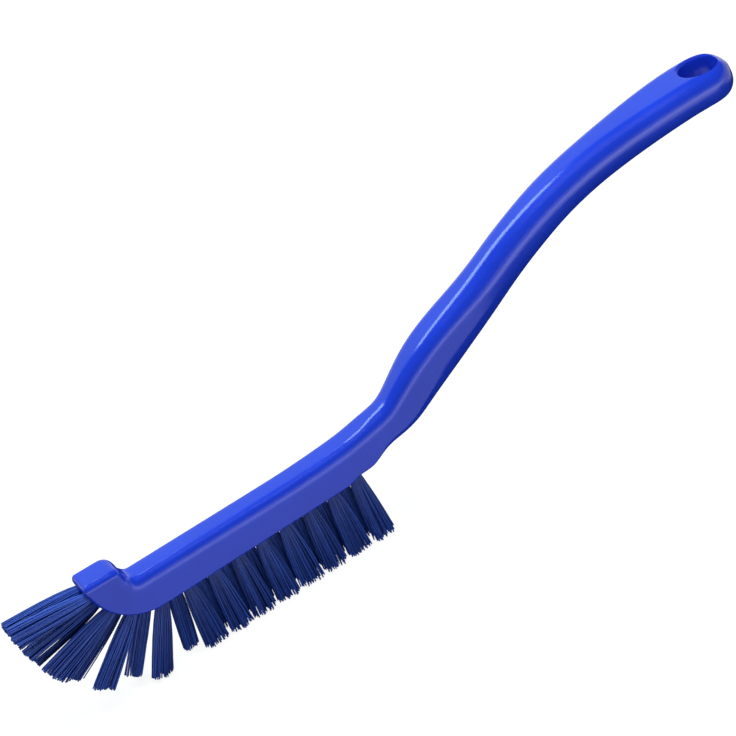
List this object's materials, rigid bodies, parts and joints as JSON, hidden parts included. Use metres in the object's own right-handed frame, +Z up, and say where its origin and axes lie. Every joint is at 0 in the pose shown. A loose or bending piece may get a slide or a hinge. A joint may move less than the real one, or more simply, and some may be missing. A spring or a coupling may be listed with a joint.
{
  "type": "grout brush",
  "caption": "Long-handled grout brush: narrow plastic head with two staggered rows of stiff bristle tufts that fan around the toe, and an S-shaped grip with a hanging hole.",
  "frame": {"origin": "below the middle of the whole brush's bounding box, on the plane of the bristle tips of the straight tufts", "axes": "+X along the brush from the toe to the hanging end, +Y across the brush, +Z up from the bristle tips to the head's top"},
  "size_m": [0.3988, 0.0296, 0.116],
  "materials": {
    "body_plastic": "smooth moulded polypropylene",
    "bristle_plastic": "stiff polyester filaments, cut flat at the tips",
    "anchor_steel": "bright flat steel wire"
  },
  "bodies": {
    "root": {"brush_body": "body_plastic", "tuft_anchors": "anchor_steel", "tuft_near_01": "bristle_plastic", "tuft_far_01": "bristle_plastic", "tuft_near_02": "bristle_plastic", "tuft_far_02": "bristle_plastic", "tuft_near_03": "bristle_plastic", "tuft_far_03": "bristle_plastic", "tuft_near_04": "bristle_plastic", "tuft_far_04": "bristle_plastic", "tuft_near_05": "bristle_plastic", "tuft_far_05": "bristle_plastic", "tuft_near_06": "bristle_plastic", "tuft_far_06": "bristle_plastic", "tuft_near_07": "bristle_plastic", "tuft_far_07": "bristle_plastic", "tuft_near_08": "bristle_plastic", "tuft_far_08": "bristle_plastic", "tuft_near_09": "bristle_plastic", "tuft_far_09": "bristle_plastic", "tuft_near_10": "bristle_plastic", "tuft_far_10": "bristle_plastic", "tuft_near_11": "bristle_plastic", "tuft_far_11": "bristle_plastic", "tuft_near_12": "bristle_plastic", "tuft_far_12": "bristle_plastic"}
  },
  "joints": []
}
